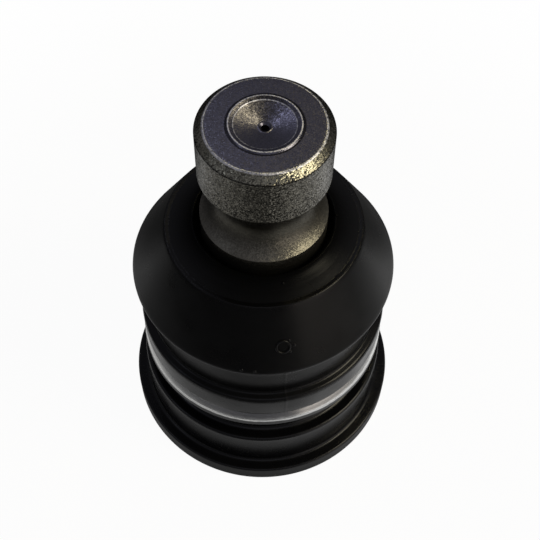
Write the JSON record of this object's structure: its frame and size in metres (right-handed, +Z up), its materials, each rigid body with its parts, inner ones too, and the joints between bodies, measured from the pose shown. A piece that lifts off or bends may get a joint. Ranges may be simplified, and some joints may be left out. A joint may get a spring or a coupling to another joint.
{
  "type": "suspension ball joint",
  "caption": "Press-in suspension ball joint: flanged steel housing, rubber dust boot and a greased ball stud with a pinch-bolt groove that swings and turns.",
  "frame": {"origin": "centre of the housing flange's lower face, on which the part stands", "axes": "+Z up along the stud at rest, X and Y across the flange"},
  "size_m": [0.053, 0.053, 0.0784],
  "materials": {
    "housing_steel": "gloss black electrocoat",
    "stud_steel": "shot-blasted and oiled",
    "bearing_plastic": "natural acetal",
    "spring_steel": "phosphated",
    "cover_steel": "gloss black electrocoat",
    "seal_rubber": "matt black nitrile",
    "boot_rubber": "satin black chloroprene",
    "ring_steel": "zinc plated"
  },
  "bodies": {
    "housing_assembly": {"housing": "housing_steel", "upper_bearing": "bearing_plastic", "preload_spring": "spring_steel", "cover_plate": "cover_steel", "cover_seal": "seal_rubber", "dust_boot": "boot_rubber", "boot_base_ring": "ring_steel"},
    "pressure_cup": {"lower_bearing": "bearing_plastic"},
    "boot_neck": {"boot_neck_ring": "ring_steel"},
    "stud": {"ball_stud": "stud_steel"}
  },
  "joints": [
    {"name": "swing_direction", "type": "hinge", "parent": "housing_assembly", "child": "pressure_cup", "pos_m": [0, 0, 0.02], "axis": [0, 0, 1], "continuous": true},
    {"name": "swing", "type": "hinge", "parent": "pressure_cup", "child": "boot_neck", "pos_m": [0, 0, 0.02], "axis": [1, 0, 0], "range_deg": [-20, 20], "deforming": ["dust_boot"]},
    {"name": "stud_spin", "type": "hinge", "parent": "boot_neck", "child": "stud", "pos_m": [0, 0, 0.02], "axis": [0, 0, 1], "continuous": true}
  ]
}
